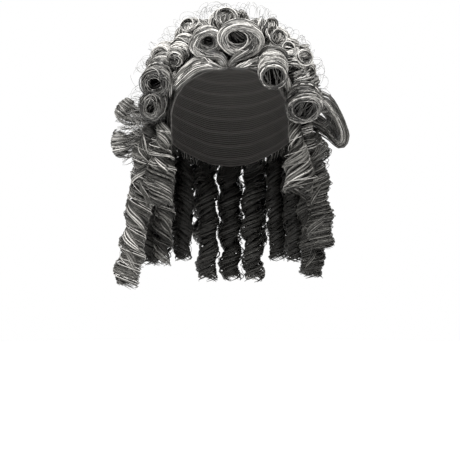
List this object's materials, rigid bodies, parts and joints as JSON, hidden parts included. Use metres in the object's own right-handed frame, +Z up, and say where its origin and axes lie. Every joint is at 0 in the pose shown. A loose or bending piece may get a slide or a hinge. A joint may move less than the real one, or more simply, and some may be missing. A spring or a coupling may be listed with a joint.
{
  "type": "powdered wig",
  "caption": "Worn powdered wig: an open net cap set with swept brow hair, rows of barrel rolls and long hanging ringlets.",
  "frame": {"origin": "top of the hollow for the head, in the middle of the crown of the cap, where the wig sits on the head", "axes": "+Z up, -Y the way the face opening looks, +X the side that is on the right when the face opening is looked into"},
  "size_m": [0.2728, 0.2346, 0.3219],
  "materials": {
    "silver_hair": "salt-and-pepper grey fibre, lit strands pale and gaps near black, soft sheen",
    "shaded_hair": "darker grey fibre of the hanging ringlets, soft sheen",
    "cap_net": "dark woven net and weft, matt"
  },
  "bodies": {
    "root": {"cap": "cap_net", "brow_roll_centre": "silver_hair", "brow_roll_left": "silver_hair", "brow_roll_right": "silver_hair", "temple_roll_left": "silver_hair", "temple_roll_right": "silver_hair", "ear_roll_left": "silver_hair", "crest_roll_left_1": "silver_hair", "crest_roll_top": "silver_hair", "crest_roll_left_2": "silver_hair", "crest_roll_left_3": "silver_hair", "crest_roll_left_4": "silver_hair", "crest_roll_right_1": "silver_hair", "crest_roll_right_2": "silver_hair", "crest_roll_right_3": "silver_hair", "crest_roll_right_4": "silver_hair", "side_roll_left_1": "silver_hair", "side_roll_left_2": "silver_hair", "side_roll_right": "silver_hair", "side_loop_right": "silver_hair", "ringlet_left_1": "shaded_hair", "ringlet_left_2": "shaded_hair", "ringlet_left_3": "shaded_hair", "ringlet_left_4": "shaded_hair", "ringlet_left_5": "shaded_hair", "ringlet_right_1": "shaded_hair", "ringlet_right_2": "shaded_hair", "ringlet_right_3": "shaded_hair", "ringlet_right_4": "shaded_hair", "ringlet_right_5": "shaded_hair", "ringlet_right_6": "shaded_hair", "ringlet_right_7": "shaded_hair", "crown_roll_high_1": "silver_hair", "crown_roll_high_2": "silver_hair", "crown_roll_high_3": "silver_hair", "crown_roll_middle_1": "silver_hair", "crown_roll_middle_2": "silver_hair", "crown_roll_middle_3": "silver_hair", "crown_roll_middle_4": "silver_hair", "crown_roll_low_1": "silver_hair", "crown_roll_low_2": "silver_hair", "crown_roll_low_3": "silver_hair", "crown_roll_low_4": "silver_hair", "crown_roll_low_5": "silver_hair", "ringlet_nape_upper_1": "shaded_hair", "ringlet_nape_upper_2": "shaded_hair", "ringlet_nape_upper_3": "shaded_hair", "ringlet_nape_upper_4": "shaded_hair", "ringlet_nape_upper_5": "shaded_hair", "ringlet_nape_upper_6": "shaded_hair", "ringlet_nape_upper_7": "shaded_hair", "ringlet_nape_lower_1": "shaded_hair", "ringlet_nape_lower_2": "shaded_hair", "ringlet_nape_lower_3": "shaded_hair", "sweep_front_left": "silver_hair", "sweep_front_right": "silver_hair", "sweep_side_left": "silver_hair", "sweep_side_right": "silver_hair"}
  },
  "joints": []
}
